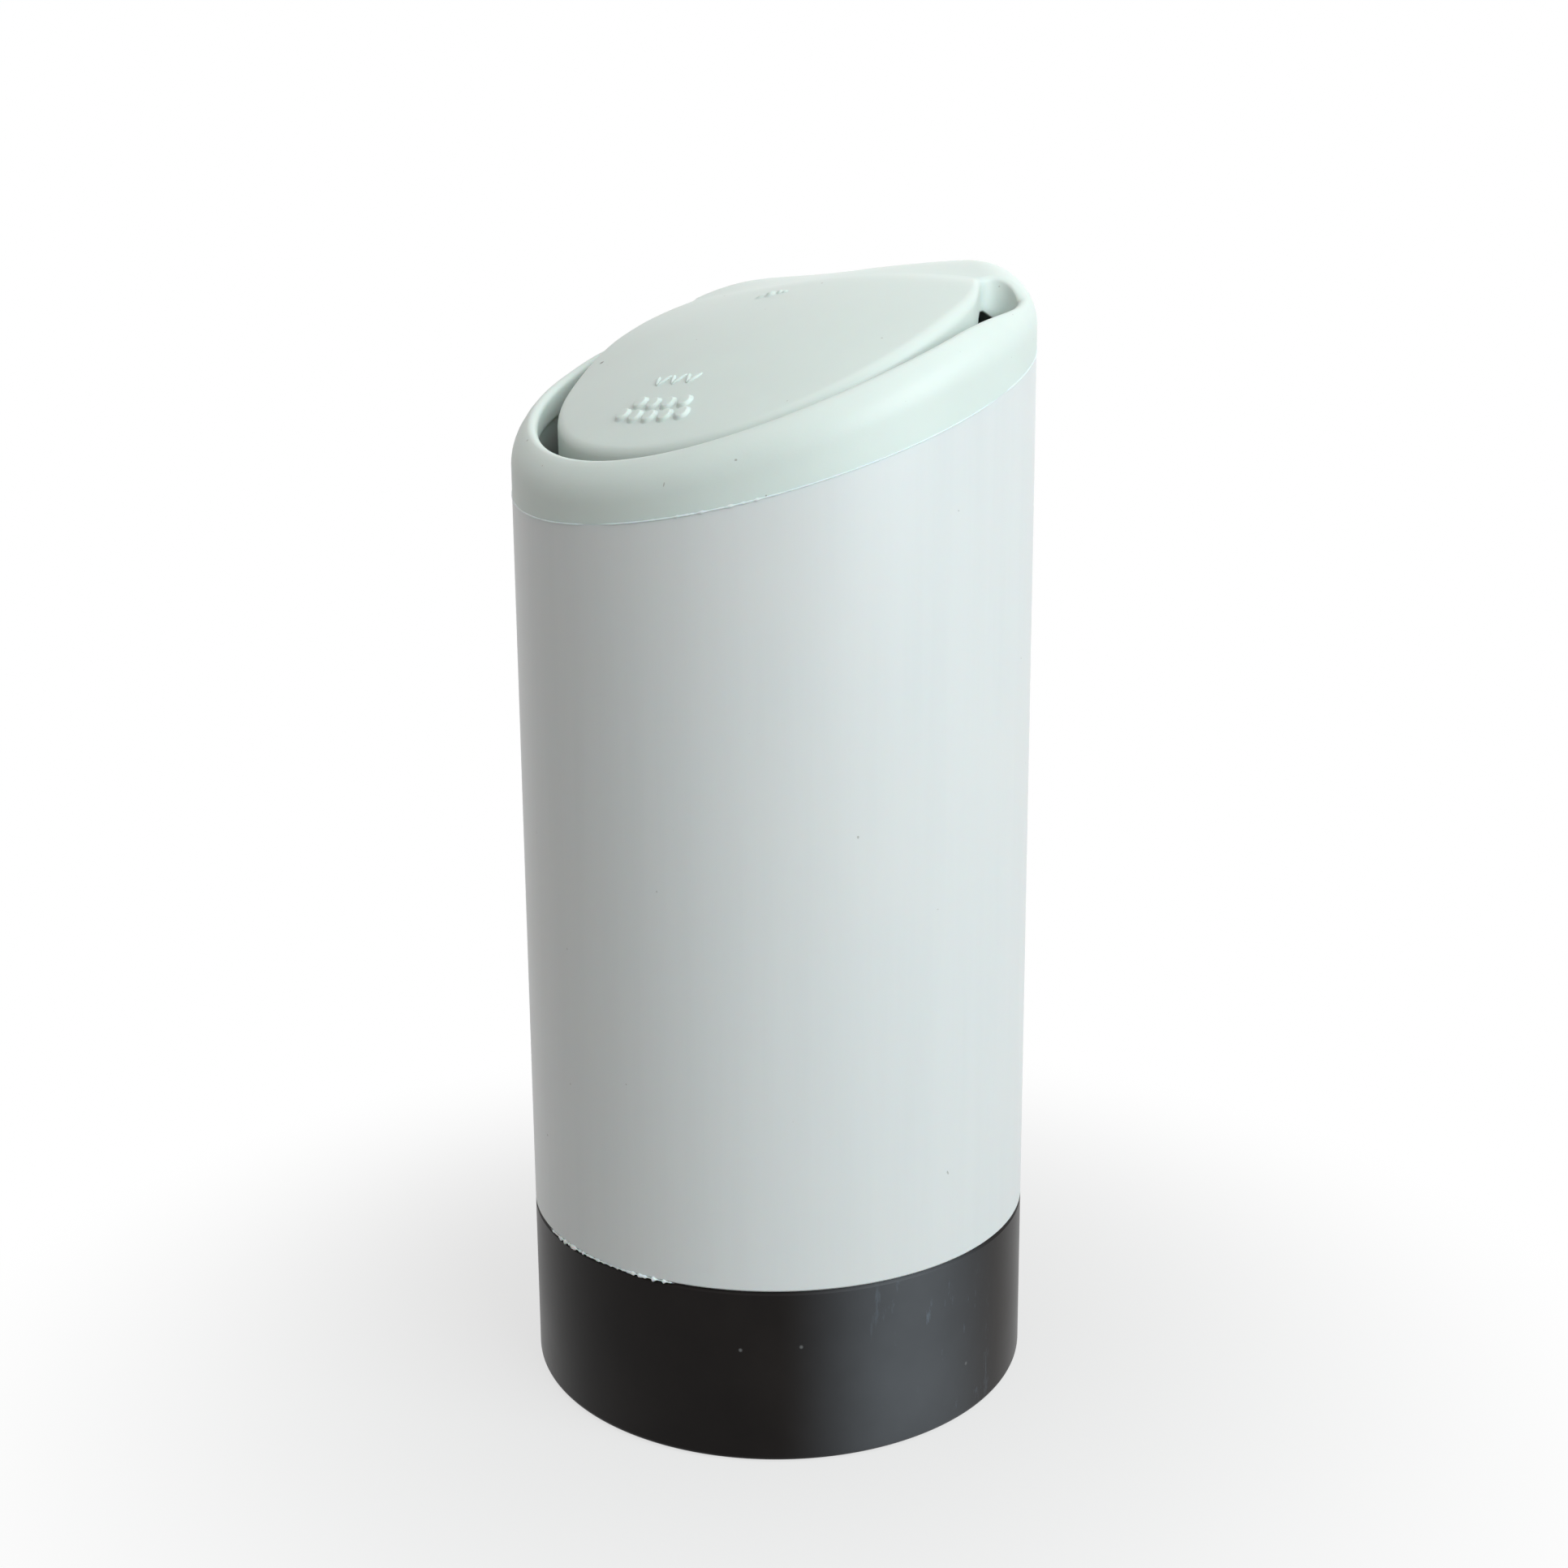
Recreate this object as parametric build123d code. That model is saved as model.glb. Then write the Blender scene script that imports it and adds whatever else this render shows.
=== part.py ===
from build123d import *
import math
import os

# A push-lid car trash can: a straight tube on a plug-in base, closed by a slanted domed cap.
# The part stands on z = 0 around the Z axis. The low side of the top faces -Y.
# All lengths are millimetres and all angles are degrees.

# Driving dimensions of the tube and the base
body_radius = 37.0
tube_wall = 1.8
base_height = 24.3
seam_axis_height = 139.8
seam_slope = 23.2

# Driving dimensions of the base
base_wall = 2.2
base_floor = 2.4
foot_recess_depth = 1.2
foot_ring_width = 4.0
base_bottom_round = 0.8
base_top_bevel = 0.45
spigot_height = 9.0
spigot_wall = 1.6
spigot_lead_in = 0.6
fit_clearance = 0.05
tube_end_bevel = 0.25

# Driving dimensions of the cap: the crown is a barrel surface, lying across the top
crown_apex_above_seam = 24.3
crown_apex_y = 44.9
crown_across_radius = 138.6
crown_along_radius = 113.9
cap_shoulder_round = 7.0
cap_skin = 2.2
cap_wall = 2.4
plug_depth = 10.0
plug_wall = 1.3
plug_lead_in = 0.6

# Driving dimensions of the slot around the flap
slot_inset = 3.8
slot_width = 2.8
slot_end_angle = 26.0
lip_width = 1.6
lip_bottom_above_seam = 5.2
slot_edge_round = 0.8

# Driving dimensions of the flap
hinge_y = 12.5
hinge_above_seam = 17.6
hinge_gap = 0.3
hinge_groove_angle = 40.0
flap_apex_above_seam = 30.6
flap_apex_y = 67.6
flap_across_radius = 157.0
flap_along_radius = 147.9
flap_skin = 2.0
flap_edge_round = 2.0
flap_skirt_wall = 2.4
flap_skirt_depth = 5.0

# Driving dimensions of the grip dots on the flap
dot_radius = 1.05
dot_proud = 0.4
dot_pitch = 2.7
dot_row_pitch = 2.2
dot_inset = 5.3
dots_in_rows = (5, 4)

# How far a cut runs past a face, how near a point has to be to lie on a surface,
# and the shares of an edge's length where it is tested
overlap = 1.0
touching = 0.01
edge_shares = (0.1, 0.5, 0.9)

# Worked out from the driving dimensions
tube_inner_radius = body_radius - tube_wall
plug_outer_radius = tube_inner_radius - fit_clearance
plug_inner_radius = plug_outer_radius - plug_wall
spigot_outer_radius = tube_inner_radius - fit_clearance
spigot_inner_radius = spigot_outer_radius - spigot_wall
crown_apex_height = seam_axis_height + crown_apex_above_seam
flap_apex_height = seam_axis_height + flap_apex_above_seam
hinge_height = seam_axis_height + hinge_above_seam
slot_outer_radius = body_radius - slot_inset
slot_middle_radius = slot_outer_radius - slot_width / 2
flap_radius = slot_outer_radius - slot_width
seam_rise = math.tan(math.radians(seam_slope))
reach = 4 * body_radius
tall = 2 * seam_axis_height


def cylinder_from(radius, bottom, height=tall):
    """An upright cylinder on the Z axis that starts at the height called bottom."""
    return Pos(0, 0, bottom) * Cylinder(radius, height, align=(Align.CENTER, Align.CENTER, Align.MIN))


def above_seam(offset=0.0):
    """Everything above the slanted seam plane, raised by offset."""
    block = Box(reach, reach, reach, align=(Align.CENTER, Align.CENTER, Align.MIN))
    return Pos(0, 0, seam_axis_height + offset) * Rot(seam_slope, 0, 0) * block


def crown(apex_height, apex_y, across_radius, along_radius, lowered=0.0):
    """A barrel that lies across the top, with its axis along X and its highest point at the apex."""
    half = body_radius + overlap
    end_radius = along_radius - (across_radius - math.sqrt(across_radius**2 - half**2))
    arc = ThreePointArc((-half, end_radius), (0, along_radius), (half, end_radius))
    rest = Polyline((half, end_radius), (half, 0), (-half, 0), (-half, end_radius))
    barrel = revolve(make_face([arc, rest]), Axis.X, 360)
    return Pos(0, apex_y, apex_height - along_radius - lowered) * barrel


def cap_crown(lowered=0.0):
    return crown(crown_apex_height, crown_apex_y, crown_across_radius, crown_along_radius, lowered)


def flap_crown(lowered=0.0):
    return crown(flap_apex_height, flap_apex_y, flap_across_radius, flap_along_radius, lowered)


def height_over_seam(point):
    return point.Z - seam_axis_height - seam_rise * point.Y


def edges_on(solid, on_wall):
    """The edges where the top of a crowned solid meets a wall, which on_wall tells from a point."""
    chosen = []
    for edge in solid.edges():
        points = [edge.position_at(share) for share in edge_shares]
        start, end = points[0], points[-1]
        upright = math.hypot(start.X - end.X, start.Y - end.Y) < touching
        over_seam = all(height_over_seam(point) > overlap for point in points)
        if over_seam and not upright and all(on_wall(point) for point in points):
            chosen.append(edge)
    return chosen


def on_round_wall(radius):
    return lambda point: abs(math.hypot(point.X, point.Y) - radius) < touching


def slot_end(angle):
    """The centre of one round end of the slot, seen from above."""
    return Vector(slot_middle_radius, 0).rotate(Axis.Z, angle)


def on_slot_wall(point):
    half_width = slot_width / 2
    flat = Vector(point.X, point.Y)
    ends = [(flat - slot_end(angle)).length for angle in (slot_end_angle, 180 - slot_end_angle)]
    off_middle = abs(flat.length - slot_middle_radius)
    return min(abs(value - half_width) for value in (*ends, off_middle)) < touching


def slot_outline(grow=0.0):
    """The C-shaped slot seen from above, open towards +Y, with round ends."""
    half_width = slot_width / 2 + grow
    start = slot_end(slot_end_angle)
    end = slot_end(180 - slot_end_angle)
    far = reach / slot_middle_radius
    ring = Circle(slot_middle_radius + half_width) - Circle(slot_middle_radius - half_width)
    wedge = make_face(Polyline((0, 0), start * far, (0, reach), end * far, (0, 0)))
    ends = Pos(start.X, start.Y) * Circle(half_width)
    ends += Pos(end.X, end.Y) * Circle(half_width)
    return ring - wedge + ends


def upright_prism(outline):
    """An outline in plan, carried up through the whole height of the cap."""
    return extrude(Pos(0, 0, base_height) * outline, tall)


def make_base():
    foot_radius = body_radius - foot_ring_width
    cup = cylinder_from(body_radius, 0, base_height)
    cup = fillet(cup.edges().filter_by(GeomType.CIRCLE).sort_by(Axis.Z)[0], base_bottom_round)
    cup = chamfer(cup.edges().filter_by(GeomType.CIRCLE).sort_by(Axis.Z)[-1], base_top_bevel)
    spigot = cylinder_from(spigot_outer_radius, base_height - overlap, spigot_height + overlap)
    spigot = chamfer(spigot.edges().filter_by(GeomType.CIRCLE).sort_by(Axis.Z)[-1], spigot_lead_in)
    floor_top = foot_recess_depth + base_floor
    well = cylinder_from(body_radius - base_wall, floor_top, base_height - base_wall - floor_top)
    throat = cylinder_from(spigot_inner_radius, floor_top, tall)
    recess = cylinder_from(foot_radius, 0, foot_recess_depth)
    return cup + spigot - well - throat - recess


def make_tube():
    tube = cylinder_from(body_radius, base_height, seam_axis_height)
    tube = chamfer(tube.edges().filter_by(GeomType.CIRCLE).sort_by(Axis.Z)[0], tube_end_bevel)
    tube -= cylinder_from(tube_inner_radius, 0)
    return tube - above_seam()


def make_plug():
    """The collar under the cap that goes down into the tube, cut parallel to the seam."""
    plug = cylinder_from(plug_outer_radius, base_height) & above_seam(-plug_depth)
    plug = chamfer(plug.faces().sort_by(Axis.Z)[0].edges(), plug_lead_in)
    return plug - cylinder_from(plug_inner_radius, base_height) - above_seam(lip_bottom_above_seam)


def make_cap():
    outer = cylinder_from(body_radius, base_height) & cap_crown() & above_seam()
    outer = fillet(edges_on(outer, on_round_wall(body_radius)), cap_shoulder_round)
    outer -= upright_prism(slot_outline())
    outer = fillet(edges_on(outer, on_slot_wall), slot_edge_round)

    hollow_radius = body_radius - cap_wall
    hollow = cylinder_from(hollow_radius, base_height) & cap_crown(cap_skin) & above_seam(-overlap)
    hollow = fillet(edges_on(hollow, on_round_wall(hollow_radius)), cap_shoulder_round - cap_wall)
    lip = upright_prism(slot_outline(lip_width)) & above_seam(lip_bottom_above_seam)

    front = Pos(0, hinge_y, 0) * Box(reach, reach, tall, align=(Align.CENTER, Align.MAX, Align.MIN))
    flap_hole = cylinder_from(slot_middle_radius, base_height) & Pos(0, 0, base_height) * front

    return outer - (hollow - lip) + make_plug() - upright_prism(slot_outline()) - flap_hole


def hinge_side():
    """The space in front of the hinge, with the groove that lets the flap turn down."""
    front_y = hinge_y - hinge_gap
    drop = hinge_height - base_height
    back = front_y - drop * math.tan(math.radians(hinge_groove_angle))
    profile = Polyline(
        (-reach, base_height),
        (back, base_height),
        (front_y, hinge_height),
        (front_y, tall),
        (-reach, tall),
        (-reach, base_height),
    )
    face = make_face(Plane.YZ * profile)
    return extrude(face, reach, both=True, dir=(1, 0, 0))


def on_flap_crown(x, y):
    """The point of the flap's crown over x, y, and the crown's outward direction there."""
    sag = flap_across_radius - math.sqrt(flap_across_radius**2 - x**2)
    ring = flap_along_radius - sag
    away = y - flap_apex_y
    rise = math.sqrt(ring**2 - away**2)
    point = Vector(x, y, flap_apex_height - flap_along_radius + rise)
    return point, Vector(x / flap_across_radius, away / ring, rise / ring).normalized()


def make_dots():
    """Rows of low round dots along the flap's rim, each a slice of a sphere standing on its crown."""
    sphere_radius = (dot_radius**2 + dot_proud**2) / (2 * dot_proud)
    dots = []
    for row, count in enumerate(dots_in_rows):
        row_radius = flap_radius - dot_inset - row * dot_row_pitch
        for index in range(count):
            turn = (index - (count - 1) / 2) * dot_pitch / row_radius
            foot, outward = on_flap_crown(row_radius * math.sin(turn), -row_radius * math.cos(turn))
            dots.append(Pos(*(foot - outward * (sphere_radius - dot_proud))) * Sphere(sphere_radius))
    return dots


def make_flap():
    outer = cylinder_from(flap_radius, base_height) & flap_crown()
    outer = fillet(edges_on(outer, on_round_wall(flap_radius)), flap_edge_round)
    inner = cylinder_from(flap_radius - flap_skirt_wall, base_height) & flap_crown(flap_skin)
    flap = outer - inner - flap_crown(flap_skirt_depth)
    flap &= hinge_side()
    for dot in make_dots():
        flap += dot - flap_crown(flap_skin / 2)
    return flap


nodes = {
    "base_cup": make_base(),
    "body_tube": make_tube(),
    "push_cap": make_cap(),
    "push_flap": make_flap(),
}

os.makedirs("parts", exist_ok=True)
for name, shape in nodes.items():
    export_step(shape, f"parts/{name}.step")
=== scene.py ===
import math
from collections import namedtuple

import bmesh
import bpy
import numpy as np
from mathutils import Matrix, Vector, noise
from mathutils.geometry import delaunay_2d_cdt


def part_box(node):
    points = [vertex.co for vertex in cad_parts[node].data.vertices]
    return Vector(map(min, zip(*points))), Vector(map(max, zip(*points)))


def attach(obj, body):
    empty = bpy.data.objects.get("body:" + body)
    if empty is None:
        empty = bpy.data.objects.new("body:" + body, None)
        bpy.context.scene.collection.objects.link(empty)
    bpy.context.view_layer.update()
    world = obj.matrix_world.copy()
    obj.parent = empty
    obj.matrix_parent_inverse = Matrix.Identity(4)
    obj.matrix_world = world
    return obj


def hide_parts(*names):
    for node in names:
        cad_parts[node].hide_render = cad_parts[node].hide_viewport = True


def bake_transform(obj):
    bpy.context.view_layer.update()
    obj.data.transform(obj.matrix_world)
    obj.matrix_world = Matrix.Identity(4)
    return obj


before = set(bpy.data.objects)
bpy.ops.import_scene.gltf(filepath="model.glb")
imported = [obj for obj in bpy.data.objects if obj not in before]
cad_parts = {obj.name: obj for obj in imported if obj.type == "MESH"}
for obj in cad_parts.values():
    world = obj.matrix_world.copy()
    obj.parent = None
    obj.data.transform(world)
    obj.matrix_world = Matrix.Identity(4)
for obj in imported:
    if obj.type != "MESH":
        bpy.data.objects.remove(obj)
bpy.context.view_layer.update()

# Shapes are worked out in millimetres and stored in metres
MM = 0.001

# Main sizes, from the frame
tube_low, tube_high = (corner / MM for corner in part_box("body_tube"))
body_radius = (tube_high.x - tube_low.x) / 2
base_height = tube_low.z
spigot_top = (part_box("base_cup")[1] / MM).z

# The slanted seam between the tube and the cap
seam_slope = 23.2
seam_rise = math.tan(math.radians(seam_slope))
seam_axis_height = tube_high.z - body_radius * seam_rise

# The crowns of the cap and the flap: barrels lying across the top
Barrel = namedtuple("Barrel", "apex_above_seam apex_y across along")
cap_barrel = Barrel(24.3, 44.9, 138.6, 113.9)
flap_barrel = Barrel(30.6, 67.6, 157.0, 147.9)
shoulder_round = 7.0

# How the photograph's crowns depart from plain barrels: fuller at the rear and on the far side.
# A span says where along y a change starts and where it is complete.
rear_fullness = 1.84
rear_full_at_x = 30.0
rear_span_y = (12.0, 24.0)
rear_drop = 0.17
drop_span_y = (5.0, 30.0)
far_from_x = -2.4
far_full_at_x = -27.0
far_fullness = 2.4
far_span_y = (-8.0, 25.4)
far_fullness_of_flap = 1.0
far_span_y_of_flap = (-14.1, 0.3)

# The slot around the flap, and how its walls flare at the top near its two ends
slot_inner_radius = 30.4
slot_outer_radius = 33.2
slot_end_angle = 25.0
slot_end_length = 2.0
slot_flare = 1.1
flare_from_angle = -8.0
flare_to_angle = 20.0
slot_inner_flare = 1.1
inner_flare_from_angle = 8.0

# The lip under the slot: its height, and how the slot's end differs there from the one at the top
lip_above_seam = 5.2
lip_end_turn = 1.0
lip_end_length = 1.4
lip_reached_by = 0.5

# Edge rounds along the slot. The flap's grows from the slot's ends to the front over a span of y.
rim_edge = 0.9
slot_end_edge = 1.2
flap_edge = 2.2
flap_edge_span_y = (11.0, -4.0)
bottom_edge = 0.3

# How fast the flare of a slot wall dies out on its way down
flare_power = 1.5

# The flap and its neck
skirt_depth = 6.0
neck_depth = 4.4
skirt_wall = 2.4
skirt_corner = 0.5
skin = 2.0
notch_span_y = (6.0, 9.0)
bend_to_y = 7.5

# The plug under the cap, and the grooved seam: the cap stands a hair above the tube
plug_outer_radius = 35.15
plug_inner_radius = 33.85
plug_depth = 10.0
plug_lead_in = 0.6
groove = 0.06
seat_gap = 0.02

# Walls of the tube and the base
tube_wall = 1.8
tube_bevel = 0.25
base_floor_top = 3.6
foot_recess_depth = 1.2
foot_ring_width = 4.0
base_wall = 2.2
spigot_outer_radius = 35.15
spigot_inner_radius = 33.55
spigot_lead_in = 0.6
base_bottom_round = 0.8
base_top_bevel = 0.45

# Mesh fineness: points round a ring, and steps over rounds, walls and lines
columns = 360
edge_steps = 8
wall_steps = 6
foot_steps = 3
rim_end_steps = 14
flap_end_steps = 4
neck_steps = 56
shoulder_step_angle = 3
shoulder_steps = 7
cap_wall_rows = 8
tube_rows = 24
base_round_steps = 6

# The points inside a filled surface: how far apart they are, how clear of its outline, and how
# near two points have to be to count as one
ring_step = 0.8
lattice_step = 1.0
lattice_row_share = 0.87
clear_share = 0.4
same_place = 1e-6

# The angle from which an edge is sharp, on the main pieces and on the raised marks
sharp_angle = 20.0
sharp_angle_of_marks = 60.0

# How finely slopes are measured, and how often a search is repeated
probe = 0.01
frame_probe = 0.05
edge_rounds = 12
turn_rounds = 40

# Raised marks on the flap. A chevron's wings reach out and up by shares of its size.
dot_radius = 1.05
dot_proud = 0.45
dot_pitch = 2.7
dot_row_pitch = 2.2
dot_row_radius = 25.1
dot_rows_turn = -2.0
dots_in_rows = (5, 4)
chevron_count = 3
chevron_x = -2.2
chevron_y = -17.9
chevron_pitch = 2.7
chevron_size = 2.3
chevron_wing = (0.5, 0.35)
chevron_stroke = 0.6
chevron_proud = 0.32

# The moulding's scar on the flap: lumps as offset in x and y, radius and height
gate_x = -4.4
gate_y = 5.5
gate_lumps = ((0.0, 0.0, 1.0, 0.45), (1.3, 0.4, 0.6, 0.34), (-1.6, -0.3, 0.9, 0.22), (2.2, 0.4, 0.5, 0.2))

# How far a mark's foot spreads under the surface, and how a raised bar is built
foot_spread = 0.02
stroke_steps = 12
stroke_arc_steps = 8
stroke_end_power = 0.35
stroke_end_least = 0.02
stroke_sink = 0.04

# Threads of plastic that stand out of a joint: their mesh, and how they stay inside the body's box
bead_steps_per_degree = 2
bead_sides = 8
bead_taper_steps = 6
bead_end_share = 0.05
bead_inset = 0.02
box_inset = 0.01

# The uneven bead in the seam, and the angles between which it has lumps
flash_radius = 0.15
flash_even = 0.75
flash_ripple = 0.25
flash_waves = 30.0
flash_lump = 0.9
flash_lump_waves = 55.0
flash_lump_span = (0.0, 0.5)
flash_lumps_start = (282.0, 288.0)
flash_lumps_end = (305.0, 312.0)

# The ragged stretch at the foot of the tube
burr_radius = 0.42
burr_least = 0.2
burr_waves = 60.0
burr_span = (-0.2, 0.5)
burr_lift = 0.05
burr_from_angle = 246.0
burr_to_angle = 286.0

# A dark speck on the flap, in plan
speck_place = (-25.6, -8.1)

# Pale scuffs on the base as angle round the axis, height and spread, chips as angle and height,
# and the angle and half width of an upright band of painted reflection, a pale bluish sheen painted on the
# black base
scuff_places = ((-22.0, 20.0, 7.0), (-12.0, 14.0, 8.0), (-7.0, 6.0, 6.0))
chip_places = ((-47.5, 16.5), (-7.2, 7.9), (-60.0, 16.0))
painted_reflection_angle = -23.0
painted_reflection_width = 30.0

# The floor, in metres: it turns from shaded to plain white over a span of distance from the axis
floor_reach = 1.6
floor_drop = 0.0001
floor_fade_span = (0.036, 0.14)
floor_least_white = 0.70
floor_color = (0.50, 0.495, 0.485)

# The camera, in millimetres, and its lens
camera_place = Vector((141.27, -180.68, 124.18))
camera_right = Vector((0.7918, 0.6107, -0.0062))
camera_up = Vector((-0.0959, 0.1343, 0.9863))
camera_ahead = Vector((-0.6032, 0.7804, -0.1649))
camera_lens = 36.05
camera_sensor = 36.0
camera_near = 0.01

# Light: all round, and soft boxes as name, place and size in metres, power in watts, and colour
world_light = 0.25
world_color = (1.0, 0.985, 0.96)
lamp_target = Vector((0, 0, 0.09))
lamps = (
    ("key_right", (0.60, -0.06, 0.42), 0.55, 4.3, (0.87, 0.97, 1.0)),
    ("top", (0.05, -0.10, 0.80), 0.60, 1.45, (1.0, 1.0, 1.0)),
    ("fill_left", (-0.40, -0.60, 0.25), 0.50, 0.10, (1.0, 0.97, 0.93)),
    ("back", (-0.35, 0.62, 0.40), 0.50, 0.3, (1.0, 0.99, 0.97)),
)


def on_seam(x, y, above=0.0):
    return seam_axis_height + seam_rise * y + above


def barrel_height(barrel, x, y):
    ring = barrel.along - (barrel.across - math.sqrt(barrel.across**2 - x * x))
    apex_height = seam_axis_height + barrel.apex_above_seam
    return apex_height - barrel.along + math.sqrt(ring * ring - (y - barrel.apex_y) ** 2)


def smooth(value, start, end):
    """0 before start, 1 after end, and an even S between them."""
    share = min(max((value - start) / (end - start), 0.0), 1.0)
    return share * share * (3 - 2 * share)


def heading(angle):
    """The direction in plan at this angle round the axis, in degrees."""
    turn = math.radians(angle)
    return Vector((math.cos(turn), math.sin(turn)))


def far_share(x):
    """How much of the far side's extra fullness there is at x: it grows as a square."""
    return (max(far_from_x - x, 0.0) / (far_from_x - far_full_at_x)) ** 2


def cap_crown(x, y):
    rear = rear_fullness * (x / rear_full_at_x) ** 2 * smooth(y, *rear_span_y)
    far = far_fullness * far_share(x) * smooth(y, *far_span_y)
    return barrel_height(cap_barrel, x, y) + rear + far - rear_drop * smooth(y, *drop_span_y)


def flap_crown(x, y):
    far = far_fullness_of_flap * far_share(x) * smooth(y, *far_span_y_of_flap)
    return barrel_height(flap_barrel, x, y) + far


def rolled_edge(height, radius, steps=edge_steps):
    """A round edge between an upright wall at 0 and a surface height(d): points (d, z), wall first."""
    reach, tilt = radius, 0.0
    for _ in range(edge_rounds):
        tilt = math.atan((height(reach + probe) - height(reach - probe)) / (2 * probe))
        reach = radius * (1 - math.sin(tilt))
    centre = height(reach) - radius * math.cos(tilt)
    turn = math.pi / 2 - tilt
    angles = [math.pi - turn * step / steps for step in range(steps + 1)]
    return [(radius + radius * math.cos(angle), centre + radius * math.sin(angle)) for angle in angles]


shoulder_cache = {}


def shoulder_at(angle):
    """Where the shoulder's round meets the crown, in plan, and the height of its centre."""
    key = round(angle, 5)
    if key not in shoulder_cache:
        away = Vector((math.cos(angle), math.sin(angle)))
        arc = rolled_edge(lambda d: cap_crown(*(away * (body_radius - d))), shoulder_round)
        shoulder_cache[key] = (body_radius - arc[-1][0], arc[0][1])
    return shoulder_cache[key]


def cap_top(x, y):
    """The height of the cap's outside, with its round shoulder."""
    far = math.hypot(x, y)
    inner = body_radius - shoulder_round
    if far <= inner:
        return cap_crown(x, y)
    start, centre = shoulder_at(math.atan2(y, x))
    if far <= start:
        return cap_crown(x, y)
    return centre + math.sqrt(max(shoulder_round**2 - (far - inner) ** 2, 0.0))


# One end of the slot, from above: half an ellipse, at the top and at the lip
SlotEnd = namedtuple("SlotEnd", "angle length inner outer")
slot_end_inner = slot_inner_radius - slot_inner_flare
end_at_top = SlotEnd(slot_end_angle, slot_end_length, slot_end_inner, slot_outer_radius + slot_flare)
end_at_lip = SlotEnd(slot_end_angle + lip_end_turn, lip_end_length, slot_end_inner, slot_outer_radius)


def slot_end_point(end, turn):
    """A point of the slot's right end and its direction away from the slot. Turn is 0 at the outer wall."""
    out = heading(end.angle)
    along = Vector((-out.y, out.x))
    width = (end.outer - end.inner) / 2
    point = out * (end.inner + width) + out * width * math.cos(turn) + along * end.length * math.sin(turn)
    away = out * math.cos(turn) / width + along * math.sin(turn) / end.length
    return point, away.normalized()


def neck_turn():
    """Where the wall of the slot's end faces straight across, which is where the neck line leaves it."""
    low, high = math.pi / 2, math.pi
    for _ in range(turn_rounds):
        middle = (low + high) / 2
        if slot_end_point(end_at_top, middle)[1].y > 0:
            low = middle
        else:
            high = middle
    return middle


neck_start_turn = neck_turn()
neck_y = slot_end_point(end_at_top, neck_start_turn)[0].y


def flap_top(x, y):
    """The height of the flap's outside: its own crown, which runs into the cap's at the neck."""
    share = smooth(y, bend_to_y, neck_y)
    if share == 1:
        return cap_top(x, y)
    own = flap_crown(x, y)
    return own + (cap_top(x, y) - own) * share


# A place along the slot's wall: at its top and at its foot in plan, the direction into the
# material, the radius of the top edge and the height of the foot
Station = namedtuple("Station", "top foot into edge bottom")


def mirrored(stations):
    """The right half of a wall and, after it, the left half."""
    def flip(point):
        return Vector((-point.x, point.y))
    left = [s._replace(top=flip(s.top), foot=flip(s.foot), into=flip(s.into)) for s in stations[:-1]]
    return stations + left[::-1]


def neck_bottom(point):
    return flap_top(point.x, point.y) - neck_depth


def rim_stations():
    """The slot's outer wall, from the neck line round the slot's end to the middle of the low side."""
    stations = []
    for step in range(rim_end_steps + 1):
        share = step / rim_end_steps
        turn = neck_start_turn * (1 - share)
        top, into = slot_end_point(end_at_top, turn)
        foot, _ = slot_end_point(end_at_lip, turn)
        drop = smooth(share, 0.0, lip_reached_by)
        bottom = neck_bottom(top) * (1 - drop) + on_seam(top.x, top.y, lip_above_seam) * drop
        edge = slot_end_edge + (rim_edge - slot_end_edge) * share
        stations.append(Station(top, foot, into, edge, bottom))
    for degree in range(int(slot_end_angle) - 1, -91, -1):
        out = heading(degree)
        flare = smooth(degree, flare_from_angle, flare_to_angle)
        top = out * (slot_outer_radius + slot_flare * flare)
        foot = out * slot_outer_radius
        stations.append(Station(top, foot, out, rim_edge, on_seam(top.x, top.y, lip_above_seam)))
    return mirrored(stations)


def flap_stations():
    """The flap's side wall, from the neck line to the middle of the low side."""
    stations = []
    for step in range(flap_end_steps):
        turn = neck_start_turn + (math.pi - neck_start_turn) * step / flap_end_steps
        top, away = slot_end_point(end_at_top, turn)
        foot, _ = slot_end_point(end_at_lip, turn)
        stations.append(Station(top, foot, away, slot_end_edge, neck_bottom(top)))
    for degree in range(int(slot_end_angle), -91, -1):
        out = heading(degree)
        flare = smooth(degree, inner_flare_from_angle, slot_end_angle)
        top = out * (slot_inner_radius - slot_inner_flare * flare)
        edge = slot_end_edge + (flap_edge - slot_end_edge) * smooth(top.y, *flap_edge_span_y)
        depth = skirt_depth + (neck_depth - skirt_depth) * smooth(top.y, *notch_span_y)
        stations.append(Station(top, top, -out, edge, flap_top(top.x, top.y) - depth))
    return mirrored(stations)


def wall_profile(station, height):
    """Points from the surface over the round edge, down the wall to the round foot."""
    def at(d):
        return height(*(station.top + station.into * d))
    arc = rolled_edge(at, station.edge)
    points = []
    for d, z in reversed(arc):
        plan = station.top + station.into * d
        points.append((plan.x, plan.y, z))
    high = arc[0][1]
    low = station.bottom + bottom_edge
    for step in range(1, wall_steps + 1):
        share = step / wall_steps
        plan = station.top.lerp(station.foot, share**flare_power)
        points.append((plan.x, plan.y, high + (low - high) * share))
    for step in range(1, foot_steps + 1):
        turn = math.radians(90 * step / foot_steps)
        plan = station.foot + station.into * bottom_edge * (1 - math.cos(turn))
        points.append((plan.x, plan.y, low - bottom_edge * math.sin(turn)))
    return points


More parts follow.
